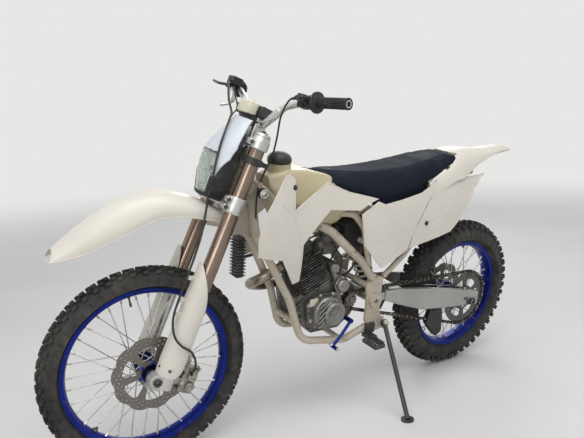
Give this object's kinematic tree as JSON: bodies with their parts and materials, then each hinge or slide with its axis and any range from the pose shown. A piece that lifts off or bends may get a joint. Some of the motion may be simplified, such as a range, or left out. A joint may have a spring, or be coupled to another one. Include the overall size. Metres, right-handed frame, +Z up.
{
  "type": "dirt bike",
  "caption": "Off-road motorcycle with knobbly tyres, spoked wheels, upside-down fork, finned engine and bare race panels, leaning on its side stand.",
  "frame": {"origin": "centre of the parked machine's bounding box, on the ground", "axes": "+X forward along the machine, +Y to its left, +Z up"},
  "size_m": [2.123, 0.8126, 1.2884],
  "materials": {
    "black_plastic": "matt",
    "hose_rubber": "satin",
    "dark_steel": "black zinc",
    "engine_alloy": "cast, satin",
    "chain_steel": "oily",
    "black_metal": "satin black",
    "fin_alloy": "cast, sand rough",
    "header_steel": "heat stained",
    "white_plastic": "worn white plastic",
    "slider_steel": "hard chrome",
    "fork_tube_alloy": "anodised, satin",
    "frame_paint": "cream paint, satin",
    "dark_alloy": "dark, satin",
    "disc_steel": "ground",
    "hub_alloy": "satin",
    "blue_rim": "blue anodised, satin",
    "spoke_steel": "satin",
    "tyre": "dusty matt rubber",
    "tank_plastic": "yellowed natural plastic, satin",
    "grip_rubber": "matt",
    "bar_alloy": "satin",
    "lamp_glass": "clear",
    "clamp_alloy": "cast, satin",
    "seat_cover": "dark blue grained cover",
    "spring_paint": "gloss paint",
    "silencer_alloy": "brushed",
    "swingarm_alloy": "brushed"
  },
  "bodies": {
    "chassis": {"airbox": "black_plastic", "brake_pedal": "dark_steel", "carburettor": "engine_alloy", "chain": "chain_steel", "chain_guide": "black_plastic", "cylinder": "fin_alloy", "cylinder_head": "fin_alloy", "engine_case": "engine_alloy", "exhaust_header": "header_steel", "footpegs": "dark_steel", "frame_cradle": "frame_paint", "frame_spars": "frame_paint", "fuel_cap": "black_plastic", "fuel_tank": "tank_plastic", "horn": "black_plastic", "ignition_cover": "engine_alloy", "number_panels": "white_plastic", "oil_cooler": "dark_alloy", "rear_axle": "dark_steel", "rear_caliper": "dark_alloy", "rear_fender": "white_plastic", "seat": "seat_cover", "shift_lever": "dark_steel", "shock": "dark_steel", "shock_spring": "spring_paint", "shrouds": "white_plastic", "side_panels": "white_plastic", "silencer": "silencer_alloy", "starter_motor": "fin_alloy", "subframe": "frame_paint", "swingarm": "swingarm_alloy"},
    "fork": {"lower_clamp": "clamp_alloy", "upper_clamp": "clamp_alloy", "fork_tubes": "fork_tube_alloy", "fork_sliders": "slider_steel", "front_axle": "dark_steel", "fork_guards": "white_plastic", "front_fender": "white_plastic", "front_caliper": "dark_alloy", "headlight_mask": "white_plastic", "headlight_shell": "black_plastic", "headlight_lens": "lamp_glass", "handlebar": "bar_alloy", "grips": "grip_rubber", "controls": "black_metal", "instrument": "black_plastic", "front_brake_hose": "hose_rubber", "bar_cables": "hose_rubber"},
    "front_wheel": {"front_tyre": "tyre", "front_rim": "blue_rim", "front_hub": "hub_alloy", "front_spokes": "spoke_steel", "front_disc": "disc_steel"},
    "rear_wheel": {"rear_tyre": "tyre", "rear_rim": "blue_rim", "rear_hub": "hub_alloy", "rear_spokes": "spoke_steel", "rear_disc": "disc_steel", "rear_sprocket": "disc_steel"},
    "side_stand": {"side_stand": "dark_steel"}
  },
  "joints": [
    {"name": "steering", "type": "hinge", "parent": "chassis", "child": "fork", "pos_m": [0.39446, -0.04146, 0.9576], "axis": [-0.3894, 0.1557, 0.9078], "range_deg": [-31.3, 44.7]},
    {"name": "front_wheel_spin", "type": "hinge", "parent": "fork", "child": "front_wheel", "pos_m": [0.71682, -0.15314, 0.34395], "axis": [0.1075, 0.9866, -0.1231], "continuous": true},
    {"name": "rear_wheel_spin", "type": "hinge", "parent": "chassis", "child": "rear_wheel", "pos_m": [-0.72883, -0.14923, 0.32873], "axis": [0.0001, 0.9856, -0.169], "continuous": true},
    {"name": "stand_fold", "type": "hinge", "parent": "chassis", "child": "side_stand", "pos_m": [-0.20683, -0.01558, 0.32729], "axis": [0.1353, 0.875, 0.4649], "range_deg": [0, 95]}
  ]
}
